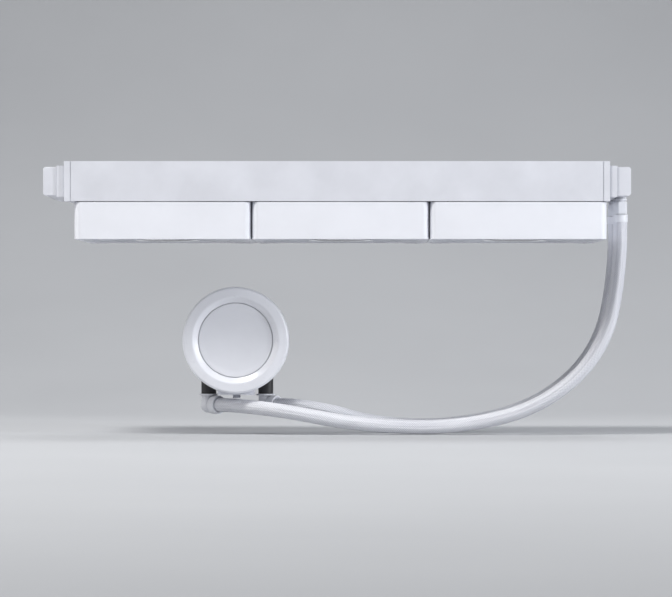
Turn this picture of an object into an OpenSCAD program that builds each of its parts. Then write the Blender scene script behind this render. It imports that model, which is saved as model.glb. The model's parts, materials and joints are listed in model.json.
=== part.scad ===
// A closed-loop liquid cooler: a three-fan radiator, two sleeved hoses and a round pump head.
// Millimetres. The origin is the centre of the radiator's top face, which bolts to the case.
// +X runs along the radiator towards the hose ports, +Y away from the pump head's face, +Z up.

/* [Radiator] */
// Length over both end tanks
radiator_len = 397; // [390:1:402]
// Width of the radiator
radiator_w = 120; // [118:0.5:124]
// Height of the radiator without its fans
radiator_h = 27; // [25:0.5:34]
// How far the radiator's middle stands from the fans' middle, along X
radiator_x = -2.3; // [-4:0.1:-1]
// Length of the two side rails
rail_len = 368.4; // [362:0.2:372]
// Thickness of the rails' sheet metal
rail_t = 1.2; // [1:0.1:1.5]
// Number of flat coolant tubes
tube_count = 12; // [8:1:14]
// Pitch of the fin folds
fin_pitch = 8; // [5:1:12]
// Distance between the two hose ports
port_gap = 50; // [40:1:70]

/* [Fans] */
// Number of fans along the radiator
fan_count = 3; // [1:1:3]
// Pitch of the fans
fan_pitch = 120; // [120:0.5:121]
// Side of a fan's square frame
fan_side = 119.6; // [119:0.1:119.9]
// Thickness of a fan
fan_t = 25; // [25:1:28]
// Distance between neighbouring screw holes of one fan
fan_hole_gap = 105; // [104.5:0.1:105.5]
// Radius of the round duct through the frame
duct_r = 57.6; // [57:0.1:57.8]
// Radius of the impeller's hub
hub_r = 21.6; // [20:0.1:23]
// Number of blades
blade_count = 9; // [7:1:11]

/* [Pump head] */
// Distance of the pump's axis from the radiator's middle, along X
pump_x = -72.3; // [-90:0.1:-50]
// Distance of the pump's axis from the radiator's top, along Z
pump_z = -121; // [-140:0.5:-115]
// Where the cold plate's contact face stands, along Y
pump_back = 28; // [20:0.5:40]
// Radius of the round cap
cap_r = 36.5; // [35:0.5:38]
// Height of the pump head from cold plate to face
pump_h = 50; // [48:1:56]

/* [Hoses] */
// Outer radius of a hose with its braided sleeve
sleeve_r = 4.75; // [4.65:0.05:4.8]
// Turn of the front hose's elbow, towards the pump's face
front_yaw = -46; // [-50:1:-38]
// Turn of the rear hose's elbow
rear_yaw = -40; // [-44:1:-30]
// Height of the hoses' lowest stretch
hose_low_z = -180.5; // [-186:0.5:-176]

/* [Hidden] */
$fn = 64;

// Radiator: rails, core and tanks
flange_w = 12;
rail_hole_r = 1.5;
screw_hole_r = 1.75;
collar_r = 2.8;
collar_h = 1.6;
core_mid_z = -radiator_h / 2;
core_h = 16;
core_half_w = radiator_w / 2 - rail_t;
core_inset = 44;
tube_t = 1.8;
tube_wall = 0.3;
tube_len = radiator_len - core_inset + 5;
fin_gap = (2 * core_half_w - tube_count * tube_t) / (tube_count + 1);
fin_t = 0.3;
fin_h = core_h - 2.6;
fin_len = radiator_len - core_inset - 4;

// A tray closes each end of the core, and a tank is soldered into the tray
tray_t = 1.2;
tray_rim_t = 0.8;
tray_half_h = 10.5;
tray_depth = 12.7;
tray_x = (radiator_len - core_inset) / 2;
tank_x = tray_x + tray_t;
tank_end = radiator_len / 2;
tank_half_w = core_half_w - tray_rim_t;
tank_half_h = tray_half_h - tray_rim_t;
tank_wall = 1.2;
tank_chamfer = 1.2;
tank_bottom = core_mid_z - tank_half_h;

// Ports, fittings and hoses
port_x = tank_end + radiator_x - 5;
port_hole_r = 3.5;
spigot_r = 3.46;
port_seat_r = 4.2;
port_collar_r = 4.7;
port_neck_r = 4.1;
neck_h = 3;
nut_r = 5;
nut_h = 8.4;
nut_top = tank_bottom - neck_h;
nut_bottom = nut_top - nut_h;
nut_turn = 15;
barb_r = 2.55;
barb_bore_r = 1.8;
hose_in_r = 2.6;
hose_out_r = 4.15;
sleeve_in_r = 4.23;
ferrule_in_r = sleeve_r + 0.05;
hose_top_z = nut_bottom - 0.6;
straight_top_z = hose_top_z - 11;

// Fans, measured down from each fan's radiator side
pad_t = 0.5;
fan_top = -radiator_h - pad_t;
corner_r = 5;
frame_hole_r = 2.2;
head_pocket_r = 3.4;
head_pocket_h = 2;
base_r = 20.5;
base_top = -0.4;
base_bottom = -3;
strut_count = 7;
bearing_tube_r = 4.6;
bearing_r = 3.55;
shaft_r = 1.5;
bearing_gap = 0.04;
hub_top = -4.2;
hub_bottom = -24;
hub_wall = 1.6;
blade_top = -6;
blade_bottom = -23;
tip_r = 56.4;
blade_sweep = 60;
blade_twist = 34;
blade_steps = 6;

// Pump head, measured as w from the cold plate's contact face towards the cap's face
pad_h = 1.2;
plate_top = 3.2;
chamber_top = 8.2;
housing_r = 31;
base_flange_r = 34;
base_flange_top = 9;
housing_top = 28;
bracket_gap = 44;
bracket_hole_r = 1.5;
port_u = 19.8;
port_w = 15;
port_face_v = -37.3;
port_stub_r = 5.2;
port_bore_r = 4.3;
port_bore_len = 8.4;
impeller_chamber_r = 11;
can_r = 7.4;
can_wall = 1.5;
face_r = 25.4;
shell_top = 47;

// Elbows, measured from each elbow's centre
elbow_v = -45;
elbow_r = 5.6;
neck_r = 4.25;
elbow_lead = 5.2;
elbow_straight = 15;
flange_top = port_face_v - elbow_v - 0.1;
flange_t = 1.1;

// ---- Shared shapes ----

// A square with rounded corners, centred on the origin
module rounded_square(side, r) {
    square([side - 2 * r, side], center = true);
    square([side, side - 2 * r], center = true);
    for (sx = [-1, 1], sy = [-1, 1])
        translate([sx, sy] * (side / 2 - r)) circle(r);
}

module ring_2d(outer, inner) {
    difference() {
        circle(outer);
        circle(inner);
    }
}

// A ring or washer standing from z = 0
module ring(outer, inner, h) {
    linear_extrude(h) ring_2d(outer, inner);
}

// An upright slot, thin along X and long along Y
module slot_2d(t, len) {
    square([t, len - t], center = true);
    for (s = [-1, 1]) translate([0, s * (len - t) / 2]) circle(t / 2, $fn = 24);
}

// Places its children once at each of four corners of a square
module corners(gap) {
    for (sx = [-1, 1], sy = [-1, 1]) translate([sx * gap / 2, sy * gap / 2, 0]) children();
}

module around(count, r) {
    for (i = [0 : count - 1]) rotate(i * 360 / count) translate([r, 0, 0]) children();
}

// ---- Radiator ----

// A channel rail along the long side, with collared screw holes in both flanges
module rail(side) {
    seam_x = rail_len / 2 - 4.4;
    web_y = side * (radiator_w - rail_t) / 2;
    flange_y = side * (radiator_w - flange_w) / 2;
    hole_h = rail_t + collar_h + 2;
    difference() {
        union() {
            translate([radiator_x, web_y, core_mid_z]) cube([rail_len, rail_t, radiator_h], center = true);
            for (z = [-rail_t / 2, rail_t / 2 - radiator_h])
                translate([radiator_x, flange_y, z]) cube([rail_len, flange_w, rail_t], center = true);
            at_rail_holes(side) {
                translate([0, 0, -rail_t - collar_h]) cylinder(r = collar_r, h = collar_h);
                translate([0, 0, rail_t - radiator_h]) cylinder(r = collar_r, h = collar_h);
            }
        }
        at_rail_holes(side) {
            translate([0, 0, 1 - hole_h]) cylinder(r = rail_hole_r, h = hole_h);
            translate([0, 0, -radiator_h - 1]) cylinder(r = screw_hole_r, h = hole_h);
        }
        // The shallow seam where each end is folded back
        for (sx = [-1, 1]) translate([radiator_x + sx * seam_x, side * radiator_w / 2, core_mid_z])
            cube([0.5, 0.6, radiator_h + 2], center = true);
    }
}

// The screw places on one rail, two for each fan
module at_rail_holes(side) {
    for (i = [0 : fan_count - 1], sx = [-1, 1])
        translate([fan_x(i) + sx * fan_hole_gap / 2, side * fan_hole_gap / 2, 0]) children();
}

function fan_x(i) = (i - (fan_count - 1) / 2) * fan_pitch;
function tube_y(i) = -core_half_w + (i + 1) * fin_gap + (i + 0.5) * tube_t;

// Stands a profile drawn in Y and Z up along X, at the middle of the core's height
module along_x(from, len) {
    translate([from, 0, core_mid_z]) rotate([90, 0, 90]) linear_extrude(len) children();
}

module coolant_tubes() {
    color("white") translate([radiator_x, 0, 0]) for (i = [0 : tube_count - 1])
        along_x(-tube_len / 2, tube_len) translate([tube_y(i), 0]) difference() {
            slot_2d(tube_t, core_h);
            slot_2d(tube_t - 2 * tube_wall, core_h - 2 * tube_wall);
        }
}

// One folded strip of fin, drawn in X and Y, that touches neither tube beside it
module fin_strip(width) {
    folds = floor(fin_len / fin_pitch);
    half = width / 2 - 0.03;
    edge = [for (i = [0 : folds]) [(i - folds / 2) * fin_pitch, i % 2 == 0 ? -half : half - fin_t]];
    back = [for (i = [folds : -1 : 0]) edge[i] + [0, fin_t]];
    polygon(concat(edge, back));
}

module cooling_fins() {
    color("white") for (i = [0 : tube_count])
        translate([radiator_x, -core_half_w + fin_gap / 2 + i * (fin_gap + tube_t), core_mid_z])
            linear_extrude(fin_h, center = true) fin_strip(fin_gap);
}

// The shallow tray at one end of the core: the coolant tubes pass through its floor
module tray(side) {
    color("white") translate([radiator_x, 0, 0]) mirror([side > 0 ? 0 : 1, 0, 0]) difference() {
        along_x(tray_x, tray_t + tray_depth - 1.2) square([2 * core_half_w, 2 * tray_half_h], center = true);
        along_x(tank_x, tray_depth) square([2 * tank_half_w, 2 * tank_half_h], center = true);
        along_x(tray_x - 1, tray_t + 2) for (i = [0 : tube_count - 1])
            translate([tube_y(i), 0]) slot_2d(tube_t + 0.04, core_h + 0.04);
    }
}

// A hollow end tank that opens towards the core, drawn for the +X end
module tank_shell() {
    module side_profile(inset) {
        x = tank_end - inset;
        h = tank_half_h - inset;
        c = tank_chamfer;
        polygon([[tank_x, h], [x - c, h], [x, h - c], [x, c - h], [x - c, -h], [tank_x, -h]]);
    }
    translate([0, 0, core_mid_z]) rotate([90, 0, 0]) difference() {
        linear_extrude(2 * tank_half_w - 0.04, center = true) side_profile(0.02);
        linear_extrude(2 * (tank_half_w - tank_wall), center = true) side_profile(tank_wall);
    }
}

module port_tank() {
    color("white") difference() {
        translate([radiator_x, 0, 0]) {
            tank_shell();
            // The wall that keeps the inlet side from the outlet side
            translate([tank_x, -tank_wall / 2, tank_bottom + 0.6])
                cube([tank_end - tank_x - 0.6, tank_wall, 2 * tank_half_h - 1.2]);
        }
        for (s = [-1, 1]) translate([port_x, s * port_gap / 2, tank_bottom - 1])
            cylinder(r = port_hole_r, h = tank_wall + 2);
    }
}

plug_r = 2.95;

module return_tank() {
    color("white") translate([radiator_x, 0, 0]) mirror([1, 0, 0]) difference() {
        tank_shell();
        translate([tank_end - tank_wall - 1, 0, core_mid_z]) rotate([0, 90, 0])
            cylinder(r = plug_r + 0.05, h = tank_wall + 2);
    }
}

module fill_plug() {
    head_h = 1.6;
    color("silver") translate([radiator_x - tank_end + 0.02, 0, core_mid_z]) rotate([0, -90, 0])
        difference() {
            union() {
                cylinder(r = 4.6, h = head_h);
                translate([0, 0, -3]) cylinder(r = plug_r, h = 3.5);
            }
            translate([0, 0, 0.4]) cylinder(r = 2.2, h = head_h, $fn = 6);
        }
}

// ---- Ports and hoses ----

// A barbed fitting below the port tank: spigot, flange, neck, hexagon and barb
module port_fitting(side) {
    color("white") translate([port_x, side * port_gap / 2, 0]) difference() {
        union() {
            translate([0, 0, tank_bottom - 0.5]) cylinder(r = spigot_r, h = tank_wall + 0.5);
            translate([0, 0, tank_bottom - 1]) cylinder(r = port_seat_r, h = 1.02);
            translate([0, 0, tank_bottom - 2.1]) cylinder(r = port_collar_r, h = 1);
            translate([0, 0, nut_top - 0.5]) cylinder(r = port_neck_r, h = neck_h);
            translate([0, 0, nut_bottom]) rotate(nut_turn) cylinder(r = nut_r, h = nut_h, $fn = 6);
            translate([0, 0, straight_top_z + 1]) cylinder(r = barb_r, h = nut_bottom - straight_top_z);
        }
        translate([0, 0, straight_top_z]) cylinder(r = barb_bore_r, h = 40);
    }
}

module port_ferrule(side) {
    h = 5.2;
    color("white") translate([port_x, side * port_gap / 2, hose_top_z - h + 0.2])
        ring(ferrule_in_r + 0.4, ferrule_in_r, h);
}

function unit(v) = v / norm(v);

// How far a biarc's two control points stand from its ends p0 and p1, which run along t0 and t1
function biarc_reach(p0, t0, p1, t1) =
    let (v = p1 - p0, b = v * (t0 + t1), k = 2 * (1 - t0 * t1))
    k < 1e-6 ? v * v / (2 * b) : (sqrt(b * b + k * (v * v)) - b) / k;

// The point where a biarc's two arcs meet
function biarc_knee(p0, t0, p1, t1) =
    let (d = biarc_reach(p0, t0, p1, t1)) (p0 + d * t0 + p1 - d * t1) / 2;

// The direction at q of the arc that leaves p along t
function arc_end_dir(p, t, q) = let (v = q - p) unit(2 * (v * t) / (v * v) * v - t);

// A hose is a list of waypoints [point, direction], with a biarc between each two.
// Arcs stop this short of each other, and a thin ring bridges each joint.
arc_trim = 0.02;
bridge_len = 0.8;
bridge_skin = 0.03;

// Sweeps a round profile along the arc that leaves p along t and ends at q
module arc_sweep(p, t, q) {
    v = q - p;
    n = unit(cross(t, v));
    m = cross(n, t);
    r = v * v / (2 * (v * m));
    turn = 2 * atan2(v * m, v * t);
    trim = arc_trim / r * 180 / PI;
    c = p + r * m;
    multmatrix([[-m.x, t.x, n.x, c.x], [-m.y, t.y, n.y, c.y], [-m.z, t.z, n.z, c.z]])
        rotate(trim) rotate_extrude(angle = turn - 2 * trim) translate([r, 0]) children();
}

// Stands a profile at p, square to t, and extrudes it along t from start to end
module along(p, t, start, end) {
    ey = unit(cross(t, [0.13, 0.97, 0.21]));
    ex = cross(ey, t);
    o = p + start * t;
    multmatrix([[ex.x, ey.x, t.x, o.x], [ex.y, ey.y, t.y, o.y], [ex.z, ey.z, t.z, o.z]])
        linear_extrude(end - start) children();
}

// Sweeps a ring along a list of waypoints, with a straight end of its own length at each end
module hose_sweep(way, outer, inner, first_len, last_len) {
    last = len(way) - 1;
    for (i = [0 : last - 1]) {
        a = way[i];
        b = way[i + 1];
        knee = biarc_knee(a[0], a[1], b[0], b[1]);
        knee_dir = arc_end_dir(a[0], a[1], knee);
        arc_sweep(a[0], a[1], knee) ring_2d(outer, inner);
        arc_sweep(knee, knee_dir, b[0]) ring_2d(outer, inner);
        bridge(knee, knee_dir, outer, inner);
    }
    for (w = way) bridge(w[0], w[1], outer, inner);
    along(way[0][0], way[0][1], -first_len, -arc_trim) ring_2d(outer, inner);
    along(way[last][0], way[last][1], arc_trim, last_len) ring_2d(outer, inner);
}

module bridge(p, t, outer, inner) {
    along(p, t, -bridge_len / 2, bridge_len / 2) ring_2d(outer + bridge_skin, inner - bridge_skin);
}

// Waypoints of a hose: off its elbow, through the lowest stretch, up the bend and to the port
function elbow_centre(side) = [pump_x + side * port_u, pump_back - port_w, pump_z + elbow_v];
function yaw_dir(yaw) = [cos(yaw), sin(yaw), 0];
function hose_way(side, yaw) = let (y = side * port_gap / 2) [
    [elbow_centre(side) + elbow_straight * yaw_dir(yaw), yaw_dir(yaw)],
    [[56, y - side * 3, hose_low_z], [1, 0, 0]],
    [[160, y, -147], [cos(43), 0, sin(43)]],
    [[port_x, y, straight_top_z], [0, 0, 1]]
];

module hose_layer(side, outer, inner) {
    hose_sweep(hose_way(side, side < 0 ? front_yaw : rear_yaw), outer, inner,
        elbow_straight - elbow_lead, hose_top_z - straight_top_z);
}

module hose(side) { color("dimgray") hose_layer(side, hose_out_r, hose_in_r); }
module sleeve(side) { color("white") hose_layer(side, sleeve_r, sleeve_in_r); }

// ---- Fans ----

module at_fan(i) { translate([fan_x(i), 0, fan_top]) children(); }

// The hollow behind each corner of the frame, open towards the radiator
module corner_pockets() {
    wall = 2;
    front_t = 2.5;
    translate([0, 0, front_t - fan_t]) linear_extrude(fan_t) difference() {
        rounded_square(fan_side - 2 * wall, corner_r - wall);
        circle(duct_r + 1.7);
        corners_2d(fan_hole_gap) circle(5);
    }
}

module corners_2d(gap) {
    for (sx = [-1, 1], sy = [-1, 1]) translate([sx, sy] * gap / 2) children();
}

module fan_frame(i) {
    bell_h = 3;
    strut_w = 2.6;
    color("white") at_fan(i) {
        difference() {
            translate([0, 0, -fan_t]) linear_extrude(fan_t) rounded_square(fan_side, corner_r);
            translate([0, 0, -fan_t - 1]) cylinder(r = duct_r, h = fan_t + 2);
            translate([0, 0, -fan_t - 0.01]) cylinder(r1 = duct_r + 1.2, r2 = duct_r, h = bell_h);
            corner_pockets();
            corners(fan_hole_gap) {
                translate([0, 0, -fan_t - 1]) cylinder(r = frame_hole_r, h = fan_t + 2);
                translate([0, 0, -fan_t - 1]) cylinder(r = head_pocket_r, h = head_pocket_h + 1);
            }
        }
        difference() {
            union() {
                translate([0, 0, base_bottom]) cylinder(r = base_r, h = base_top - base_bottom);
                translate([0, 0, -16]) cylinder(r = bearing_tube_r, h = 14);
                for (k = [0 : strut_count - 1]) rotate(k * 360 / strut_count)
                    translate([base_r - 2, -strut_w / 2, base_bottom - 0.4])
                        cube([duct_r + 0.6 - base_r + 2, strut_w, base_top - base_bottom]);
            }
            translate([0, 0, -17]) cylinder(r = bearing_r + 0.02, h = 15);
        }
    }
}

module fan_bearings() {
    color("goldenrod") for (i = [0 : fan_count - 1])
        at_fan(i) translate([0, 0, -15.5]) ring(bearing_r, shaft_r + bearing_gap, 11.5);
}

// A nine-pole laminated core around the bearing tube
module fan_stators() {
    pole_r = 15.6;
    color("gray") for (i = [0 : fan_count - 1]) at_fan(i) translate([0, 0, -18]) difference() {
        union() {
            cylinder(r = 8, h = 10);
            around(9, 7) translate([0, -1.5, 0]) cube([7, 3, 10]);
            around(9, pole_r - 2.2) translate([0, -3.6, 0]) cube([1.8, 7.2, 10]);
        }
        translate([0, 0, -1]) cylinder(r = bearing_tube_r + 0.03, h = 12);
    }
}

module fan_boards() {
    color("darkgreen") for (i = [0 : fan_count - 1])
        at_fan(i) translate([0, 0, -5.4]) ring(15, bearing_tube_r + 0.2, 1.2);
}

module fan_pads() {
    color("dimgray") for (i = [0 : fan_count - 1]) at_fan(i) corners(fan_hole_gap)
        linear_extrude(pad_t) difference() {
            rounded_square(11, 3);
            circle(frame_hole_r + 0.2);
        }
}

module fan_screws() {
    head_h = 1.8;
    head_z = -fan_t + head_pocket_h;
    shank_top = pad_t + rail_t + 0.6;
    color("silver") for (i = [0 : fan_count - 1]) at_fan(i) corners(fan_hole_gap) difference() {
        union() {
            translate([0, 0, head_z - head_h]) cylinder(r = 2.9, h = head_h);
            translate([0, 0, head_z - 0.5]) cylinder(r = screw_hole_r - 0.05, h = shank_top - head_z + 0.5);
        }
        translate([0, 0, head_z - head_h - 1]) cylinder(r = 1.2, h = 2.1, $fn = 6);
    }
}

// The plug-in jumpers that carry power from one fan to the next, on the rear side
module fan_leads() {
    jumper = [24, 3.2, 8];
    color("white") for (i = [0 : fan_count - 2])
        translate([(fan_x(i) + fan_x(i + 1)) / 2, fan_side / 2 + jumper.y / 2 + 0.05, fan_top - 12])
            cube(jumper, center = true);
}

function blade_angle(f) = -blade_sweep * f;
function polar(r, a) = [r * cos(a), r * sin(a)];

// One blade's section square to the axis: a thin swept strip from the hub to the tip
module blade_strip() {
    r0 = hub_r - 0.9;
    side_of = function (sign) [for (k = [0 : blade_steps])
        let (f = k / blade_steps, r = r0 + f * (tip_r - r0), half_t = 0.8 + 0.4 * f)
        polar(r, blade_angle(f) + sign * half_t / r * 180 / PI)];
    back = side_of(-1);
    front = side_of(1);
    polygon(concat(back, [for (k = [blade_steps : -1 : 0]) front[k]]));
}

module impeller(i) {
    boss_top = -18;
    color("gainsboro") at_fan(i) difference() {
        union() {
            difference() {
                translate([0, 0, hub_bottom]) cylinder(r = hub_r, h = hub_top - hub_bottom);
                translate([0, 0, hub_bottom + hub_wall])
                    cylinder(r = hub_r - hub_wall, h = hub_top - hub_bottom);
            }
            translate([0, 0, hub_bottom]) cylinder(r = 3.4, h = boss_top - hub_bottom);
            translate([0, 0, blade_bottom])
                linear_extrude(blade_top - blade_bottom, twist = -blade_twist,
                    slices = blade_steps, segments = 1)
                    for (k = [0 : blade_count - 1]) rotate(k * 360 / blade_count) blade_strip();
        }
        translate([0, 0, hub_bottom + hub_wall]) cylinder(r = shaft_r, h = 20);
    }
}

module hub_ring(i) {
    color("silver") at_fan(i) translate([0, 0, hub_bottom - 0.9]) ring(22.2, 19.6, 0.9);
}

// The hub's badge, a shallow dome in two slopes
module hub_dome(i) {
    dome_r = 19.5;
    color("black") at_fan(i) translate([0, 0, hub_bottom]) rotate_extrude()
        polygon([[0, 0], [dome_r, 0], [dome_r, -0.5], [12, -0.9], [0, -1]]);
}

module rotor_magnet(i) {
    color("dimgray") at_fan(i) translate([0, 0, -20]) ring(hub_r - hub_wall - 0.05, 16.5, 14);
}

module rotor_shaft(i) {
    color("silver") at_fan(i) translate([0, 0, hub_bottom + hub_wall]) cylinder(r = shaft_r, h = 17.8);
}

// ---- Pump head ----

// Local X stays X, local Y becomes up, and local Z runs from the cold plate towards the face
module at_pump() { translate([pump_x, pump_back, pump_z]) rotate([90, 0, 0]) children(); }

plate_r = 27;
plate_screw_r = 24.6;

module cold_plate() {
    fin_field = 24;
    micro_pitch = 1.2;
    color("peru") at_pump() difference() {
        union() {
            cylinder(r = 22, h = pad_h + 0.1);
            translate([0, 0, pad_h]) cylinder(r = plate_r, h = plate_top - pad_h);
            for (x = [-fin_field / 2 : micro_pitch : fin_field / 2])
                translate([x - 0.25, -fin_field / 2, plate_top - 0.2]) cube([0.5, fin_field, 3.2]);
        }
        around(8, plate_screw_r) cylinder(r = 1.25, h = 10);
    }
}

module plate_screws() {
    head_h = 1;
    color("silver") at_pump() around(8, plate_screw_r) translate([0, 0, pad_h - head_h]) difference() {
        union() {
            cylinder(r = 2, h = head_h);
            cylinder(r = 1.2, h = 7.4);
        }
        translate([0, 0, -1]) cylinder(r = 0.9, h = 1.6, $fn = 6);
    }
}

module base_gasket() {
    color("black") at_pump() translate([0, 0, plate_top]) ring(22.4, 20.4, 1);
}

// The plate over the micro fins, whose slot feeds them
module jet_plate() {
    color("gainsboro") at_pump() translate([0, 0, chamber_top - 1.4]) difference() {
        cylinder(r = 17.8, h = 1.4);
        translate([-1.5, -9, -1]) cube([3, 18, 4]);
        translate([0, 0, -1]) cylinder(r = 3, h = 4);
    }
}

// A straight coolant channel in the plane at height w, from one point to another
module channel(from, to, w, r) {
    d = to - from;
    translate([from.x, from.y, w]) rotate([0, 90, atan2(d.y, d.x)]) cylinder(r = r, h = norm(d));
}

module pump_housing() {
    bore_end = port_face_v + port_bore_len - 1;
    inlet = [-9, -13.5];
    color("dimgray") at_pump() difference() {
        union() {
            translate([0, 0, plate_top]) cylinder(r = housing_r, h = housing_top - plate_top);
            translate([0, 0, plate_top]) cylinder(r = base_flange_r, h = base_flange_top - plate_top);
            for (s = [-1, 1]) translate([s * port_u, port_face_v, port_w]) rotate([-90, 0, 0])
                cylinder(r = port_stub_r, h = 16);
        }
        // Coolant spaces, from the cold plate up: fins, impeller, rotor and the shaft's seat
        translate([0, 0, plate_top - 1]) cylinder(r = 18, h = chamber_top - plate_top + 1);
        translate([0, 0, chamber_top - 0.1]) cylinder(r = impeller_chamber_r, h = 5.9);
        translate([0, 0, 13]) cylinder(r = can_r, h = 11.5);
        translate([0, 0, 24]) cylinder(r = 1.01, h = 1.5);
        translate([0, 0, plate_top - 1]) ring(22.5, 20.3, 2.1);
        // The dry pocket for the stator, open to the top
        translate([0, 0, 15.5]) difference() {
            cylinder(r = 20, h = 20);
            translate([0, 0, -1]) cylinder(r = can_r + can_wall, h = 11.5);
        }
        // Ports, each with a channel to its chamber
        for (s = [-1, 1]) translate([s * port_u, port_face_v - 1, port_w]) rotate([-90, 0, 0])
            cylinder(r = port_bore_r, h = port_bore_len + 1);
        channel([-port_u, bore_end], inlet, 12.5, 2);
        translate([inlet.x, inlet.y, 6]) cylinder(r = 2.5, h = 7.2);
        channel([port_u, bore_end], [7, -5], 11.5, 2);
        // Screw holes: the cold plate's own, and the four that take a socket bracket
        translate([0, 0, plate_top - 1]) {
            around(8, plate_screw_r) cylinder(r = 1.25, h = 6);
            corners(bracket_gap) cylinder(r = bracket_hole_r, h = 5.5);
        }
    }
}

module pump_stator() {
    inner_r = can_r + can_wall + 0.1;
    color("gray") at_pump() translate([0, 0, 16]) difference() {
        union() {
            ring(19.6, 16.6, 9);
            around(6, inner_r + 0.6) translate([0, -1.6, 0]) cube([8, 3.2, 9]);
            around(6, inner_r + 0.4) translate([0, -3, 0]) cube([1.8, 6, 9]);
        }
        translate([0, 0, -1]) cylinder(r = inner_r, h = 12);
    }
}

module pump_board() {
    color("darkgreen") at_pump() translate([0, 0, housing_top]) cylinder(r = 29, h = 1.6);
}

module pump_shaft() {
    color("ivory") at_pump() translate([0, 0, chamber_top + 0.1]) cylinder(r = 1, h = 17.1);
}

// The wet rotor: a magnet cylinder on a vaned impeller
module pump_rotor() {
    color("dimgray") at_pump() difference() {
        union() {
            translate([0, 0, 9]) cylinder(r = 9.6, h = 1);
            translate([0, 0, 9]) cylinder(r = 3, h = 5);
            around(6, 2) translate([0, -0.5, 9.5]) cube([7.2, 1, 3]);
            translate([0, 0, 12.4]) cylinder(r = can_r - 0.6, h = 11.2);
        }
        translate([0, 0, 8]) cylinder(r = 1 + bearing_gap, h = 17);
    }
}

// The cap's side wall, with an inward lip round the housing and a skirt over the ports
module cap_shell() {
    wall = 1.8;
    lip_w = 26;
    skirt = [25.2, 5.6, 19];
    rib = [5, 2.4, 14];
    color("white") at_pump() {
        translate([0, 0, lip_w]) ring(cap_r, cap_r - wall, shell_top - lip_w);
        translate([0, 0, lip_w]) ring(cap_r, housing_r + 0.02, 1.6);
        difference() {
            union() {
                translate([-skirt.x / 2, -cap_r - 1.1, lip_w - 4]) cube(skirt);
                translate([-rib.x / 2, -cap_r - 1.1 - rib.y, lip_w - 10]) cube(rib + [0, 1, 0]);
                translate([-rib.x / 2, -cap_r - 1.1, lip_w - 10]) cube([rib.x, 3, 10]);
            }
            translate([0, 0, lip_w - 20]) cylinder(r = cap_r - wall + 0.5, h = 40);
        }
    }
}

// The wide ring on the face: a rim, a gentle outward fall and a steep inner slope to the disc
module bezel_ring() {
    rim = 1;
    crown_r = 29.2;
    throat_r = face_r + 0.4;
    under = shell_top - 1.5;
    spigot = cap_r - 1.9;
    color("white") at_pump() rotate_extrude() polygon([
        [cap_r, shell_top], [cap_r, pump_h - 1.5], [cap_r - rim, pump_h - 0.7], [crown_r, pump_h],
        [throat_r, pump_h - 2.6], [throat_r, under], [spigot, under], [spigot, shell_top]
    ]);
}

// The face's inner disc, slightly hollow, held by a step below the bezel
module face_disc() {
    top = pump_h - 2.3;
    step = shell_top - 1.5;
    color("gainsboro") at_pump() rotate_extrude() polygon([
        [0, step - 1.2], [face_r + 2, step - 1.2], [face_r + 2, step], [face_r, step],
        [face_r, top], [face_r - 4, top - 0.35], [0, top - 0.6]
    ]);
}

// ---- Swivel elbows ----

// Local Z is the swivel's axis, upwards, and local X the way the hose leaves
module at_elbow(side) {
    translate(elbow_centre(side)) rotate(side < 0 ? front_yaw : rear_yaw) children();
}

module elbow(side) {
    groove = [neck_r + 1, 3.4, 1.6];
    color("white") at_elbow(side) difference() {
        union() {
            sphere(elbow_r);
            cylinder(r = 5, h = flange_top - 0.5);
            translate([0, 0, flange_top - flange_t]) cylinder(r = 6.6, h = flange_t);
            translate([0, 0, flange_top - 0.5]) cylinder(r = neck_r, h = port_bore_len - 0.4);
            rotate([0, 90, 0]) cylinder(r = 4.6, h = elbow_lead - 0.1);
            rotate([0, 90, 0]) cylinder(r = barb_r, h = elbow_straight);
        }
        translate([0, 0, flange_top + 2.8]) ring(groove.x, groove.y, groove.z);
        cylinder(r = barb_bore_r, h = 30);
        rotate([0, 90, 0]) cylinder(r = barb_bore_r, h = 20);
    }
}

module elbow_seal(side) {
    color("black") at_elbow(side) translate([0, 0, flange_top + 2.85]) ring(port_bore_r - 0.02, 3.42, 1.5);
}

module elbow_ferrule(side) {
    color("white") at_elbow(side) rotate([0, 90, 0]) translate([0, 0, elbow_lead - 0.1])
        ring(6.4, ferrule_in_r, 5.9);
}

// ---- Nodes ----

color("white") rail(-1);  // rail_front
color("white") rail(1);  // rail_rear
port_tank();
return_tank();
tray(1);  // port_tray
tray(-1);  // return_tray
coolant_tubes();
cooling_fins();
fill_plug();
port_fitting(-1);  // port_fitting_front
port_fitting(1);  // port_fitting_rear
port_ferrule(-1);  // port_ferrule_front
port_ferrule(1);  // port_ferrule_rear
hose(-1);  // hose_front
hose(1);  // hose_rear
sleeve(-1);  // sleeve_front
sleeve(1);  // sleeve_rear
fan_stators();
fan_bearings();
fan_boards();
fan_pads();
fan_screws();
fan_leads();
for (i = [0 : fan_count - 1]) {
    fan_frame(i);
    impeller(i);
    hub_ring(i);
    hub_dome(i);
    rotor_magnet(i);
    rotor_shaft(i);
}
cold_plate();
plate_screws();
base_gasket();
jet_plate();
pump_housing();
pump_stator();
pump_board();
pump_shaft();
pump_rotor();
cap_shell();
bezel_ring();
face_disc();
elbow(-1);  // elbow_front
elbow(1);  // elbow_rear
elbow_seal(-1);  // elbow_seal_front
elbow_seal(1);  // elbow_seal_rear
elbow_ferrule(-1);  // elbow_ferrule_front
elbow_ferrule(1);  // elbow_ferrule_rear
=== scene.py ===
"""The looks of a closed-loop liquid cooler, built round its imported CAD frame."""
import json
import math

import bmesh
import bpy
from mathutils import Matrix, Vector


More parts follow.
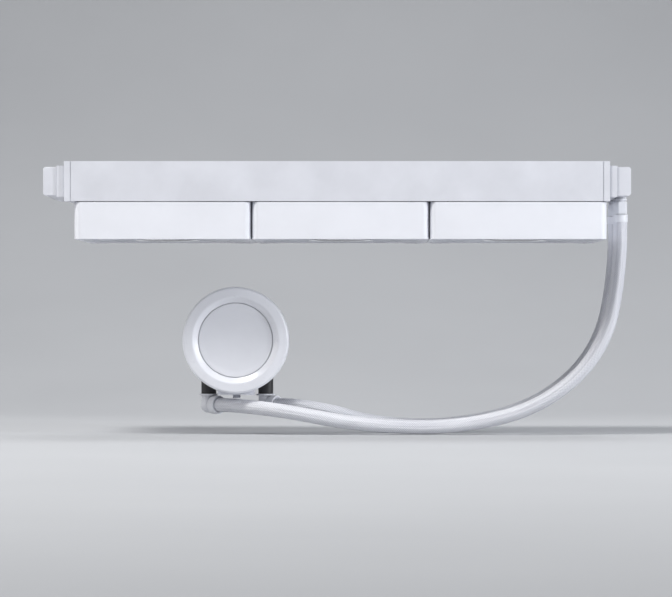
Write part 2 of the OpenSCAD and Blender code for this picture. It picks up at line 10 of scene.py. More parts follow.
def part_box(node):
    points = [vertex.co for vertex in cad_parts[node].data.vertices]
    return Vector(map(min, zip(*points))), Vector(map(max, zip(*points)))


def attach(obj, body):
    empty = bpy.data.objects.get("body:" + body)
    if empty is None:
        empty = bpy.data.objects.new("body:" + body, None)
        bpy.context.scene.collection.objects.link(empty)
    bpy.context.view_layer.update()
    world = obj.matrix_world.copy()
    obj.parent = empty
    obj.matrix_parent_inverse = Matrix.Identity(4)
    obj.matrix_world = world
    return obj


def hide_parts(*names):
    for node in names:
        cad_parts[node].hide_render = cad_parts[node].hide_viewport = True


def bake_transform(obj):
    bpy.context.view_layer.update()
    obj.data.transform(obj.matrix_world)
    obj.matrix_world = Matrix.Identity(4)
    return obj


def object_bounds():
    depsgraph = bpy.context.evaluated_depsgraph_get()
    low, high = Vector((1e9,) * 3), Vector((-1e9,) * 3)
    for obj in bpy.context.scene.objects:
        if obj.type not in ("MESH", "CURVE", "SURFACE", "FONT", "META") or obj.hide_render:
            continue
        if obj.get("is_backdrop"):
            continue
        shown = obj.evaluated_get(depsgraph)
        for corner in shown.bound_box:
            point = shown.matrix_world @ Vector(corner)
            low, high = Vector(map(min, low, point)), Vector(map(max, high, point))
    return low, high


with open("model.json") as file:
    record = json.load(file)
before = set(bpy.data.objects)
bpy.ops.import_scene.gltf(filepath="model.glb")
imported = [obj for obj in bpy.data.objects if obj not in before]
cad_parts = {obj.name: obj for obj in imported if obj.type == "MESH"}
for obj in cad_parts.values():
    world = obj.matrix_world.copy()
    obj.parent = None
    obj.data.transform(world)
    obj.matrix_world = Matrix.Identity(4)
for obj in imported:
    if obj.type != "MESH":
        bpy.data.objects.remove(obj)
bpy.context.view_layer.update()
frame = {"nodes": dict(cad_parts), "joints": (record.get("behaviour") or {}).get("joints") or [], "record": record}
MM = 0.001
SLOT_OF = {s["node"]: s["material_slot"] for s in frame["record"]["subparts"]}
JOINTS = {j["name"]: j for j in frame["joints"]}


# ---------------------------------------------------------------- places


def box(node):
    lo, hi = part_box(node)
    return Vector(lo), Vector(hi)


def centre(node):
    lo, hi = box(node)
    return (lo + hi) / 2


# ---------------------------------------------------------------- materials


class Nodes:
    """A small helper that adds and links shader nodes."""

    def __init__(self, material):
        self.tree = material.node_tree
        self.tree.nodes.clear()
        self.out = self.add("ShaderNodeOutputMaterial")
        self.bsdf = self.add("ShaderNodeBsdfPrincipled")
        self.link(self.bsdf, "BSDF", self.out, "Surface")
        self.coord = self.add("ShaderNodeTexCoord")

    def add(self, kind, **values):
        node = self.tree.nodes.new(kind)
        for key, value in values.items():
            if hasattr(node, key):
                setattr(node, key, value)
            else:
                node.inputs[key.replace("_", " ")].default_value = value
        return node

    def link(self, a, out, b, into):
        self.tree.links.new(a.outputs[out], b.inputs[into])

    def noise(self, scale, detail=3.0, rough=0.5, source=None, stretch=None):
        node = self.add("ShaderNodeTexNoise", Scale=scale, Detail=detail, Roughness=rough)
        origin, socket = source or (self.coord, "Object")
        if stretch:
            mapping = self.add("ShaderNodeMapping")
            mapping.inputs["Scale"].default_value = stretch
            self.link(origin, socket, mapping, "Vector")
            origin, socket = mapping, "Vector"
        self.link(origin, socket, node, "Vector")
        return node

    def maths(self, operation, a, b=None):
        node = self.add("ShaderNodeMath", operation=operation)
        for i, value in enumerate((a, b)):
            if value is None:
                continue
            if isinstance(value, tuple):
                self.link(value[0], value[1], node, i)
            else:
                node.inputs[i].default_value = value
        return node

    def ramp(self, source, socket, stops):
        node = self.add("ShaderNodeValToRGB")
        node.color_ramp.elements[0].position = stops[0][0]
        node.color_ramp.elements[0].color = (*stops[0][1], 1)
        node.color_ramp.elements[1].position = stops[-1][0]
        node.color_ramp.elements[1].color = (*stops[-1][1], 1)
        for position, colour in stops[1:-1]:
            node.color_ramp.elements.new(position).color = (*colour, 1)
        self.link(source, socket, node, "Fac")
        return node

    def bump(self, source, socket, strength, distance, under=None):
        node = self.add("ShaderNodeBump", Strength=strength, Distance=distance)
        self.link(source, socket, node, "Height")
        if under:
            self.link(under, "Normal", node, "Normal")
        return node


def shade(colour, factor):
    return tuple(min(1, max(0, c * factor)) for c in colour)


def coated(name, colour, rough, grain, grain_depth, metallic=0.0, spread=0.05, occlusion_shade=0.1, coat=0.0):
    """A painted, moulded or cast surface: fine grain, uneven gloss, and painted shade darkening its corners and
    creases.
    """
    material = bpy.data.materials.new(name)
    material.use_nodes = True
    n = Nodes(material)
    broad = n.noise(38, 4, 0.55)
    tint = n.ramp(broad, "Fac", [(0.3, shade(colour, 1 - spread)), (0.7, shade(colour, 1 + spread))])
    # Painted shade: ambient occlusion darkens the base colour in corners, creases and between parts;
    # occlusion_shade sets how strongly.
    corners = n.add("ShaderNodeAmbientOcclusion", Distance=0.006, samples=6)
    corner_shade_tint = n.ramp(corners, "AO", [(0.25, shade(colour, 1 - 3.2 * occlusion_shade)), (0.85, (1, 1, 1))])
    mix = n.add("ShaderNodeMixRGB", blend_type="MULTIPLY")
    mix.inputs[0].default_value = 1.0 if occlusion_shade else 0.0
    n.link(tint, "Color", mix, 1)
    n.link(corner_shade_tint, "Color", mix, 2)
    n.link(mix, "Color", n.bsdf, "Base Color")
    gloss = n.noise(210, 5, 0.6)
    rough_ramp = n.ramp(gloss, "Fac", [(0.3, (rough - 0.05,) * 3), (0.72, (rough + 0.07,) * 3)])
    n.link(rough_ramp, "Color", n.bsdf, "Roughness")
    n.bsdf.inputs["Metallic"].default_value = metallic
    n.bsdf.inputs["Coat Weight"].default_value = coat
    n.bsdf.inputs["Coat Roughness"].default_value = 0.25
    fine = n.noise(grain, 3, 0.55)
    soft = n.noise(grain * 0.11, 2, 0.5)
    low = n.bump(soft, "Fac", 0.1, grain_depth * 2)
    n.link(n.bump(fine, "Fac", 0.5, grain_depth, low), "Normal", n.bsdf, "Normal")
    return material


def brushed(name, colour, rough, stretch, depth=0.00002, spread=0.12):
    """Bare metal with fine drawn lines and uneven polish."""
    material = bpy.data.materials.new(name)
    material.use_nodes = True
    n = Nodes(material)
    lines = n.noise(900, 4, 0.6, stretch=stretch)
    tint = n.ramp(lines, "Fac", [(0.3, shade(colour, 1 - spread)), (0.7, shade(colour, 1 + spread))])
    n.link(tint, "Color", n.bsdf, "Base Color")
    smear = n.noise(160, 4, 0.6)
    rough_ramp = n.ramp(smear, "Fac", [(0.3, (rough * 0.75,) * 3), (0.7, (rough * 1.35,) * 3)])
    n.link(rough_ramp, "Color", n.bsdf, "Roughness")
    n.bsdf.inputs["Metallic"].default_value = 1.0
    n.link(n.bump(lines, "Fac", 0.35, depth), "Normal", n.bsdf, "Normal")
    return material


def turned(name, colour, rough, pitch, axis_point, coat):
    """A face turned or moulded with fine rings about an axis along Y through axis_point."""
    material = bpy.data.materials.new(name)
    material.use_nodes = True
    n = Nodes(material)
    shift = n.add("ShaderNodeMapping")
    shift.inputs["Location"].default_value = (-axis_point.x, 0, -axis_point.z)
    shift.inputs["Scale"].default_value = (1, 0, 1)
    n.link(n.coord, "Object", shift, "Vector")
    radius = n.add("ShaderNodeVectorMath", operation="LENGTH")
    n.link(shift, "Vector", radius, 0)
    wobble = n.noise(60, 3, 0.5)
    scaled = n.maths("MULTIPLY", (radius, "Value"), 2 * math.pi / pitch)
    shifted = n.maths("ADD", (scaled, "Value"), (wobble, "Fac"))
    rings = n.maths("SINE", (shifted, "Value"))
    broad = n.noise(55, 4, 0.55)
    tint = n.ramp(broad, "Fac", [(0.3, shade(colour, 0.985)), (0.7, shade(colour, 1.015))])
    n.link(tint, "Color", n.bsdf, "Base Color")
    smear = n.noise(240, 4, 0.6)
    rough_ramp = n.ramp(smear, "Fac", [(0.3, (rough - 0.04,) * 3), (0.7, (rough + 0.06,) * 3)])
    n.link(rough_ramp, "Color", n.bsdf, "Roughness")
    n.bsdf.inputs["Coat Weight"].default_value = coat
    grain = n.noise(2600, 2, 0.5)
    under = n.bump(grain, "Fac", 0.35, 0.00002)
    n.link(n.bump(rings, "Value", 0.25, 0.00002, under), "Normal", n.bsdf, "Normal")
    return material


def braided(name, colour, around, along, dark):
    """Woven yarn in a plain weave. A piece's UV map "run" gives turns round it and metres along it."""
    material = bpy.data.materials.new(name)
    material.use_nodes = True
    n = Nodes(material)
    run = n.add("ShaderNodeUVMap", uv_map="run")
    split = n.add("ShaderNodeSeparateXYZ")
    n.link(run, "UV", split, "Vector")
    u = n.maths("MULTIPLY", (split, "X"), around)
    v = n.maths("MULTIPLY", (split, "Y"), along)
    left = n.maths("ADD", (u, "Value"), (v, "Value"))
    right = n.maths("SUBTRACT", (u, "Value"), (v, "Value"))

    def strand(phase):
        part = n.maths("FRACT", (phase, "Value"))
        centred = n.maths("SUBTRACT", (part, "Value"), 0.5)
        wide = n.maths("MULTIPLY", (centred, "Value"), math.pi)
        return n.maths("COSINE", (wide, "Value"))

    # In a plain weave the family on top changes from each crossing to the next, like a chessboard
    row = n.maths("FLOOR", (left, "Value"))
    column = n.maths("FLOOR", (right, "Value"))
    cells = n.maths("ADD", (row, "Value"), (column, "Value"))
    half = n.maths("MULTIPLY", (cells, "Value"), 0.5)
    part = n.maths("FRACT", (half, "Value"))
    left_on_top = n.maths("GREATER_THAN", (part, "Value"), 0.25)
    right_on_top = n.maths("SUBTRACT", 1.0, (left_on_top, "Value"))
    across_left, across_right = strand(left), strand(right)
    high_left = n.maths("MULTIPLY", (across_left, "Value"), (left_on_top, "Value"))
    high_right = n.maths("MULTIPLY", (across_right, "Value"), (right_on_top, "Value"))
    top = n.maths("MAXIMUM", (high_left, "Value"), (high_right, "Value"))
    bulge = n.maths("MULTIPLY", (across_left, "Value"), (across_right, "Value"))
    flat_part = n.maths("MULTIPLY", (top, "Value"), 0.6)
    round_part = n.maths("MULTIPLY", (bulge, "Value"), 0.4)
    weave = n.maths("ADD", (flat_part, "Value"), (round_part, "Value"))
    threads = n.noise(2600, 3, 0.6)
    rough_weave = n.maths("MULTIPLY_ADD", (threads, "Fac"), 0.35)
    n.link(weave, "Value", rough_weave, 2)

    # The sleeve is drawn tight lengthwise, which leaves long shallow folds
    turn = n.maths("MULTIPLY", (split, "X"), 2 * math.pi)
    fold_space = n.add("ShaderNodeCombineXYZ")
    n.link(n.maths("COSINE", (turn, "Value")), "Value", fold_space, "X")
    n.link(n.maths("SINE", (turn, "Value")), "Value", fold_space, "Y")
    n.link(n.maths("MULTIPLY", (split, "Y"), 7.0), "Value", fold_space, "Z")
    folds = n.noise(1.9, 3, 0.55, source=(fold_space, "Vector"))

    # Painted shade: the low parts of the weave, between and under the strands, are coloured darker.
    tint = n.ramp(weave, "Value", [(0.0, dark), (0.45, shade(colour, 0.9)), (1.0, colour)])
    # Painted shade: the troughs of the folds are coloured darker as well as bumped.
    fold_shade_ramp = n.ramp(folds, "Fac", [(0.36, (0.80, 0.80, 0.82)), (0.52, (0.98,) * 3), (0.7, (1.0,) * 3)])
    mix = n.add("ShaderNodeMixRGB", blend_type="MULTIPLY")
    mix.inputs[0].default_value = 1
    n.link(tint, "Color", mix, 1)
    n.link(fold_shade_ramp, "Color", mix, 2)
    n.link(mix, "Color", n.bsdf, "Base Color")
    n.bsdf.inputs["Roughness"].default_value = 0.55
    n.bsdf.inputs["Sheen Weight"].default_value = 0.1
    shallow = n.bump(folds, "Fac", 1.0, 0.0012)
    n.link(n.bump(rough_weave, "Value", 0.8, 0.00018, shallow), "Normal", n.bsdf, "Normal")
    return material


pump_axis = Vector(JOINTS["pump_rotor_spin"]["pos_m"])
MATERIALS = {
    # Painted shade: the radiator's paint, its fins included, is a greyer white than the fans' plastic, standing
    # for the shade it sits in.
    "white_paint": coated("white_paint", (0.66, 0.67, 0.72), 0.42, 1500, 0.00004, occlusion_shade=0.10),
    "fin_paint": coated("fin_paint", (0.66, 0.67, 0.71), 0.5, 2200, 0.00003, occlusion_shade=0.16),
    "white_plastic": coated("white_plastic", (0.78, 0.79, 0.84), 0.46, 3000, 0.00003, occlusion_shade=0.10, spread=0.02),
    "blade_plastic": coated("blade_plastic", (0.70, 0.71, 0.77), 0.34, 1800, 0.00002, occlusion_shade=0.08),
    "cap_plastic": turned("cap_plastic", (0.80, 0.81, 0.86), 0.3, 0.0011, pump_axis, coat=0.25),
    "cap_side": coated("cap_side", (0.80, 0.81, 0.86), 0.34, 2600, 0.00002, occlusion_shade=0.08, spread=0.02,
                       coat=0.15),
    "disc_plastic": turned("disc_plastic", (0.77, 0.78, 0.83), 0.36, 0.0006, pump_axis, coat=0.1),
    "fitting_paint": coated("fitting_paint", (0.76, 0.77, 0.81), 0.36, 1300, 0.00003, occlusion_shade=0.12),
    "sleeve_braid": braided("sleeve_braid", (0.83, 0.84, 0.89), 20, 640, (0.42, 0.42, 0.46)),
    "hose_rubber": coated("hose_rubber", (0.035, 0.035, 0.038), 0.55, 1500, 0.00003, occlusion_shade=0),
    "seal_rubber": coated("seal_rubber", (0.02, 0.02, 0.02), 0.5, 1500, 0.00002, occlusion_shade=0),
    "pad_rubber": coated("pad_rubber", (0.30, 0.30, 0.32), 0.7, 1800, 0.00004, occlusion_shade=0.1),
    "black_plastic": coated("black_plastic", (0.022, 0.022, 0.025), 0.5, 2200, 0.00004, occlusion_shade=0),
    "badge": coated("badge", (0.006, 0.006, 0.007), 0.2, 900, 0.000004, occlusion_shade=0, coat=0.1),
    "trim_chrome": brushed("trim_chrome", (0.86, 0.87, 0.90), 0.12, (1, 1, 1), depth=0.000004),
    "screw_steel": brushed("screw_steel", (0.46, 0.47, 0.49), 0.32, (1, 1, 0.2)),
    "shaft_steel": brushed("shaft_steel", (0.62, 0.63, 0.65), 0.22, (1, 1, 0.1)),
    "shaft_ceramic": coated("shaft_ceramic", (0.85, 0.84, 0.80), 0.2, 1800, 0.00001, occlusion_shade=0),
    "bearing_bronze": brushed("bearing_bronze", (0.55, 0.40, 0.20), 0.4, (1, 1, 1)),
    "magnet": coated("magnet", (0.05, 0.05, 0.055), 0.6, 1200, 0.00005, metallic=0.3, occlusion_shade=0),
    "stator_steel": brushed("stator_steel", (0.30, 0.31, 0.33), 0.45, (0.2, 0.2, 3)),
    "board": coated("board", (0.01, 0.09, 0.04), 0.35, 900, 0.00004, occlusion_shade=0, coat=0.4),
    "copper": brushed("copper", (0.86, 0.44, 0.27), 0.2, (3, 3, 0.12), depth=0.000006, spread=0.04),
    "rotor_plastic": coated("rotor_plastic", (0.05, 0.05, 0.055), 0.5, 1500, 0.00003, occlusion_shade=0),
}


# ---------------------------------------------------------------- meshes


def object_from(name, mesh, material, sharp=35):
    """A smooth-shaded piece whose edges stay sharp above an angle in degrees."""
    for polygon in mesh.polygons:
        polygon.use_smooth = True
    mesh.set_sharp_from_angle(angle=math.radians(sharp))
    mesh.materials.clear()
    mesh.materials.append(MATERIALS[material])
    piece = bpy.data.objects.new(name, mesh)
    bpy.context.scene.collection.objects.link(piece)
    return piece


def mesh_from(name, verts, faces):
    mesh = bpy.data.meshes.new(name)
    mesh.from_pydata([tuple(v) for v in verts], [], faces)
    mesh.validate()
    mesh.update()
    return mesh


def outward(mesh):
    bm = bmesh.new()
    bm.from_mesh(mesh)
    bmesh.ops.recalc_face_normals(bm, faces=bm.faces)
    bm.to_mesh(mesh)
    bm.free()
    return mesh


EDGE_ANGLE = 30


def bevelled(piece, width, segments):
    """Rounds a piece's sharp edges to a width in mm."""
    modifier = piece.modifiers.new("edge", "BEVEL")
    modifier.width = width * MM
    modifier.segments = segments
    modifier.limit_method = "ANGLE"
    modifier.angle_limit = math.radians(EDGE_ANGLE)
    modifier.harden_normals = True


def softened_copy(node, name, width, segments=3, material=None):
    """A cleaned copy of a CAD node's surface with its edges rounded, standing for that node."""
    source = frame["nodes"][node]
    bm = bmesh.new()
    bm.from_mesh(source.data)
    bm.transform(source.matrix_world)
    bmesh.ops.remove_doubles(bm, verts=bm.verts, dist=2e-6)
    bmesh.ops.dissolve_limit(bm, angle_limit=math.radians(0.3), verts=bm.verts, edges=bm.edges)
    mesh = bpy.data.meshes.new(name)
    bm.to_mesh(mesh)
    bm.free()
    piece = object_from(name, outward(mesh), material or SLOT_OF[node], EDGE_ANGLE)
    bevelled(piece, width, segments)
    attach(piece, body_of(node))
    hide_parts(node)


def body_of(node):
    for body, nodes in frame["record"]["behaviour"]["bodies"].items():
        if node in nodes:
            return body
    raise KeyError(node)


def turned_mesh(name, profile, segments):
    """A closed profile of (radius, height) points in mm turned about Z."""
    verts, faces = [], []
    count = len(profile)
    for s in range(segments):
        a = 2 * math.pi * s / segments
        for r, h in profile:
            verts.append((r * math.cos(a) * MM, r * math.sin(a) * MM, h * MM))
    for s in range(segments):
        t = (s + 1) % segments
        for i in range(count):
            j = (i + 1) % count
            if profile[i][0] == 0 and profile[j][0] == 0:
                continue
            faces.append((s * count + i, t * count + i, t * count + j, s * count + j))
    mesh = mesh_from(name, verts, faces)
    bm = bmesh.new()
    bm.from_mesh(mesh)
    bmesh.ops.remove_doubles(bm, verts=bm.verts, dist=1e-7)
    bm.to_mesh(mesh)
    bm.free()
    return outward(mesh)


def rounded_profile(points, radius, steps=4):
    """Rounds the corners of a closed profile. A point may carry its own radius as a third number."""
    out = []
    count = len(points)
    for i, point in enumerate(points):
        p = Vector(point[:2])
        r = point[2] if len(point) > 2 else radius
        a = Vector(points[i - 1][:2]) - p
        b = Vector(points[(i + 1) % count][:2]) - p
        reach = min(r, a.length * 0.45, b.length * 0.45)
        if r == 0 or reach < 1e-4 or p.x == 0:
            out.append((p.x, p.y))
            continue
        start, end = p + a.normalized() * reach, p + b.normalized() * reach
        for k in range(steps + 1):
            t = k / steps
            q = start * (1 - t) ** 2 + p * 2 * t * (1 - t) + end * t ** 2
            out.append((q.x, q.y))
    return out


def turned_piece(name, points, radius, place, material, segments, steps=4):
    """A piece turned about the Z axis of place, from a profile in mm."""
    mesh = turned_mesh(name, rounded_profile(points, radius, steps), segments)
    mesh.transform(place)
    return object_from(name, mesh, material)


def facing(origin, direction):
    """A frame at origin whose Z points along direction."""
    return Matrix.Translation(origin) @ direction.to_track_quat("Z", "Y").to_matrix().to_4x4()


def joined(name, meshes, material, sharp=35):
    bm = bmesh.new()
    for mesh in meshes:
        bm.from_mesh(mesh)
    mesh = bpy.data.meshes.new(name)
    bm.to_mesh(mesh)
    bm.free()
    return object_from(name, mesh, material, sharp)


# ---------------------------------------------------------------- radiator


def build_radiator():
    for side in ("front", "rear"):
        softened_copy("rail_" + side, f"rail_{side}_panel", 0.35)
        softened_copy("port_fitting_" + side, f"port_fitting_{side}_metal", 0.3)
        softened_copy("port_ferrule_" + side, f"port_ferrule_{side}_band", 0.15)
    for node in ("port_tank", "return_tank"):
        softened_copy(node, node + "_casting", 0.9, 4)
    for node in ("port_tray", "return_tray"):
        softened_copy(node, node + "_sheet", 0.3)
    softened_copy("fill_plug", "fill_plug_head", 0.25)
    build_fins()


def build_fins():
    """Thin wavy fins folded between the coolant tubes, far finer than the CAD's."""
    lo, hi = box("cooling_fins")
    strip_count, pitch, thick = 13, 1.7 * MM, 0.1 * MM
    tube_t, clearance = 1.8 * MM, 0.05 * MM
    step = (hi.y - lo.y + clearance + tube_t) / strip_count
    width = step - tube_t - clearance
    folds = int((hi.x - lo.x) / pitch)
    verts, faces = [], []
    louvre, levels = 0.12 * MM, 5
    for strip in range(strip_count):
        y0 = lo.y + strip * step
        base = len(verts)
        for i in range(folds + 1):
            x = lo.x + i * pitch
            y = y0 + (0 if i % 2 == 0 else width)
            for k in range(levels):
                z = lo.z + (hi.z - lo.z) * k / (levels - 1)
                lean = louvre if k % 2 else -louvre
                verts.append((x + lean, y, z))
        for i in range(folds):
            for k in range(levels - 1):
                a = base + i * levels + k
                faces.append((a, a + levels, a + levels + 1, a + 1))
    mesh = mesh_from("cooling_fins_folds", verts, faces)
    piece = object_from("cooling_fins_folds", mesh, "fin_paint", sharp=20)
    solid = piece.modifiers.new("sheet", "SOLIDIFY")
    solid.thickness = thick
    solid.offset = 0
    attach(piece, "radiator")
    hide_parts("cooling_fins")


# ---------------------------------------------------------------- fans


BLADES = 9
SWEEP = math.radians(60)
TWIST = math.radians(34)
# Millimetres: a blade's thickness at its root, what it gains towards its tip, and its curve across
ROOT_THICK, TIP_GAIN, CAMBER = 0.85, 0.5, 1.1
# Millimetres: the hub cup's radius, and how far below the frame's top the blades begin and end
HUB_R = 21.6
BLADES_FROM, BLADES_TO = 23, 6


def blade_mesh(hub_r, tip_r, low, high):
    """One swept blade in mm: a thin aerofoil that leans round as it rises, with a soft tip."""
    bm = bmesh.new()
    radial, chord = 26, 14
    grid = []
    for i in range(radial + 1):
        f = i / radial
        r = hub_r + (tip_r - hub_r) * f
        trim = 0.05 * max(0, f - 0.8) / 0.2
        ring = []
        for side in (1, -1):
            steps = range(chord + 1) if side > 0 else range(chord - 1, 0, -1)
            for k in steps:
                h = k / chord
                eased = trim + h * (1 - 1.6 * trim)
                section = math.sin(math.pi * min(1, 0.06 + 0.94 * h ** 0.62)) ** 0.55
                thick = (ROOT_THICK + TIP_GAIN * f) * section
                bow = CAMBER * math.sin(math.pi * h)
                angle = -SWEEP * f + TWIST * eased + (side * thick * 0.5 + bow) / r
                z = low + (high - low) * eased
                ring.append(bm.verts.new((r * math.cos(angle) * MM, r * math.sin(angle) * MM, z * MM)))
        grid.append(ring)
    for a, b in zip(grid, grid[1:]):
        for k in range(len(a)):
            j = (k + 1) % len(a)
            bm.faces.new((a[k], a[j], b[j], b[k]))
    bm.faces.new(grid[-1])
    bm.faces.new(list(reversed(grid[0])))
    bmesh.ops.recalc_face_normals(bm, faces=bm.faces)
    mesh = bpy.data.meshes.new("blade")
    bm.to_mesh(mesh)
    bm.free()
    return mesh


def build_fan(number):
    """A fan's frame, its impeller, and the hub's bright ring and dark dome."""
    frame_lo, frame_hi = box(f"fan_frame_{number}")
    impeller_lo, impeller_hi = box(f"impeller_{number}")
    axis = Vector(JOINTS[f"fan_{number}_spin"]["pos_m"])
    rotor = f"fan_rotor_{number}"
    top = frame_hi.z / MM
    low, high = impeller_lo.z / MM, impeller_hi.z / MM
    place = Matrix.Translation((axis.x, axis.y, 0))

    softened_copy(f"fan_frame_{number}", f"fan_frame_{number}_shell", 0.3, 3)

    # The impeller: a hub cup and its blades
    cup = turned_mesh("cup", rounded_profile([
        (1.6, low, 0), (HUB_R, low), (HUB_R, high), (HUB_R - 1.6, high), (HUB_R - 1.6, low + 2, 0.8),
        (3.4, low + 2, 0.5), (3.4, low + 6), (1.6, low + 6)], 0.7), 128)
    meshes = [cup]
    tip_r = (impeller_hi.x - impeller_lo.x) / 2 / MM
    for k in range(BLADES):
        blade = blade_mesh(HUB_R - 0.8, tip_r, top - BLADES_FROM, top - BLADES_TO)
        blade.transform(Matrix.Rotation(2 * math.pi * k / BLADES, 4, "Z"))
        meshes.append(blade)
    for mesh in meshes:
        mesh.transform(place)
    impeller = joined(f"impeller_{number}_blades", meshes, "blade_plastic", 40)
    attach(impeller, rotor)
    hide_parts(f"impeller_{number}")

    ring_lo = box(f"hub_ring_{number}")[0].z / MM
    ring = turned_piece(f"hub_ring_{number}_trim", [
        (19.7, low - 0.02, 0), (19.7, ring_lo + 0.35), (20.3, ring_lo), (21.6, ring_lo),
        (22.2, ring_lo + 0.4), (22.2, low - 0.02, 0)], 0.3, place, "trim_chrome", 180)
    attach(ring, rotor)
    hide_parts(f"hub_ring_{number}")

    dome_lo = box(f"hub_dome_{number}")[0].z / MM
    dome = turned_piece(f"hub_dome_{number}_badge", [
        (0, low - 0.02, 0), (19.5, low - 0.02, 0), (19.5, low - 0.5), (16.4, low - 0.72, 0.1),
        (16.2, low - 0.6, 0.1), (15.2, low - 0.66, 0.1), (15.0, low - 0.8, 0.1), (8, dome_lo + 0.06, 3),
        (0, dome_lo, 0)],
        0.25, place, "badge", 180)
    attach(dome, rotor)
    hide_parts(f"hub_dome_{number}")
    build_corner_details(number, frame_lo, axis)


def corner_plate(sx, sy):
    """A raised plate round a screw pocket: a round boss that runs out into two points along the duct."""
    pocket, boss, rise, lip, sunk = 3.5 * MM, 4.9 * MM, 0.35 * MM, 0.12 * MM, 0.05 * MM
    corners = [Vector((-4.3, -4.3)) * MM, Vector((8.4, -0.6)) * MM, Vector((-0.6, 8.4)) * MM]
    count = 72

    def reach(direction):
        far = 1.0
        for i, a in enumerate(corners):
            edge = corners[(i + 1) % 3] - a
            out = Vector((edge.y, -edge.x)).normalized()
            along = direction.dot(out)
            if along > 1e-6:
                far = min(far, a.dot(out) / along)
        return max(boss, far)

    verts, faces = [], []
    for i in range(count):
        a = 2 * math.pi * i / count
        d = Vector((math.cos(a), math.sin(a)))
        r = reach(d)
        section = ((pocket, sunk), (pocket, lip - rise), (pocket + lip, -rise),
                   (r - lip, -rise), (r, lip - rise), (r, sunk))
        for distance, z in section:
            verts.append((-sx * d.x * distance, -sy * d.y * distance, z))
    for i in range(count):
        j = (i + 1) % count
        for k in range(6):
            m = (k + 1) % 6
            faces.append((i * 6 + k, j * 6 + k, j * 6 + m, i * 6 + m))
    return outward(mesh_from("corner", verts, faces))


def build_corner_details(number, lo, axis):
    """The raised plates round the four screw pockets on the intake side."""
    hole = 105 / 2 * MM
    meshes = []
    for sx in (-1, 1):
        for sy in (-1, 1):
            plate = corner_plate(sx, sy)
            plate.transform(Matrix.Translation((axis.x + sx * hole, axis.y + sy * hole, lo.z)))
            meshes.append(plate)
    piece = joined(f"fan_corner_plates_{number}", meshes, "white_plastic", 30)
    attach(piece, "radiator")


def build_fan_fasteners():
    softened_copy("fan_screws", "fan_screw_heads", 0.25)
    softened_copy("fan_pads", "fan_pad_feet", 0.1)
    softened_copy("fan_leads", "fan_lead_bridges", 0.5)


# ---------------------------------------------------------------- pump head


def build_pump():
    """The head. The cap's face is a ring with a soft rim and an inner slope to a shallow dished disc."""
    lo, hi = box("bezel_ring")
    cap_r = (hi.x - lo.x) / 2 / MM
    back_y = box("cold_plate")[1].y
    # Local Z runs out of the face, from the cold plate
    place = facing(Vector((pump_axis.x, back_y, pump_axis.z)), Vector((0, -1, 0)))
    deep = (back_y - lo.y) / MM
    shell_top = deep - 3
    disc_r = 25.4
    throat = disc_r + 0.35

    bezel = turned_piece("bezel_ring_face", [
        (cap_r, shell_top + 0.02, 0), (cap_r, deep - 1.75, 0.35), (cap_r - 1.15, deep - 0.62, 0.3),
        (cap_r - 3.4, deep - 0.42, 1.5), (29.6, deep, 0.9), (throat + 0.5, deep - 2.3, 0.4),
        (throat, deep - 2.6, 0.15),
        (throat, shell_top - 1.5, 0), (cap_r - 1.9, shell_top - 1.5, 0), (cap_r - 1.9, shell_top + 0.02, 0)],
        0.4, place, "cap_plastic", 256, 6)
    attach(bezel, "pump_head")
    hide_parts("bezel_ring")

    disc = turned_piece("face_disc_plate", [
        (0, shell_top - 2.7, 0), (disc_r + 2, shell_top - 2.7, 0), (disc_r + 2, shell_top - 1.5, 0),
        (disc_r, shell_top - 1.5, 0), (disc_r, deep - 2.3, 0.35), (disc_r - 1.6, deep - 2.38, 0.6),
        (disc_r - 4, deep - 2.62, 2), (12, deep - 2.85, 6), (0, deep - 2.9, 0)],
        0.2, place, "disc_plastic", 256, 6)
    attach(disc, "pump_head")
    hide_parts("face_disc")
    softened_copy("cap_shell", "cap_shell_side", 0.35, 3, material="cap_side")
    softened_copy("pump_housing", "pump_housing_body", 0.35, 3)
    softened_copy("cold_plate", "cold_plate_copper", 0.15, 2)
    softened_copy("plate_screws", "plate_screw_heads", 0.12, 2)


def build_elbow(side):
    softened_copy(f"elbow_{side}", f"elbow_{side}_casting", 0.3, 3)
    softened_copy(f"elbow_ferrule_{side}", f"elbow_ferrule_{side}_band", 0.5, 4)


# ---------------------------------------------------------------- hoses


def unit(v):
    return v.normalized()


def biarc(p0, t0, p1, t1):
    """The knee of a biarc and the direction there."""
    v = p1 - p0
    b = v.dot(t0 + t1)
    k = 2 * (1 - t0.dot(t1))
    d = v.dot(v) / (2 * b) if k < 1e-6 else (math.sqrt(b * b + k * v.dot(v)) - b) / k
    knee = (p0 + d * t0 + p1 - d * t1) / 2
    w = knee - p0
    return knee, unit(2 * w.dot(t0) / w.dot(w) * w - t0)


def arc_points(p, t, q, step):
    """Points and directions on the arc that leaves p along t and passes through q."""
    v = q - p
    n = unit(t.cross(v))
    m = n.cross(t)
    r = v.dot(v) / (2 * v.dot(m))
    turn = 2 * math.atan2(v.dot(m), v.dot(t))
    count = max(4, int(r * turn / step))
    out = []
    for i in range(count):
        a = turn * i / count
        out.append((p + r * m + r * (-m * math.cos(a) + t * math.sin(a)), t * math.cos(a) + m * math.sin(a)))
    return out


def straight_points(p, t, length, step):
    count = max(2, int(length / step))
    return [(p + t * (length * i / count), t) for i in range(count)]


SLEEVE_R, SLEEVE_WALL = 4.78 * MM, 0.45 * MM
HOSE_R, HOSE_BORE = 4.15 * MM, 2.6 * MM
PATH_STEP = 0.9 * MM
YAW = {"front": math.radians(-46), "rear": math.radians(-40)}
# How far from its elbow's middle a hose starts, and where its first bend starts
HOSE_START, FIRST_BEND = 5.2 * MM, 15 * MM
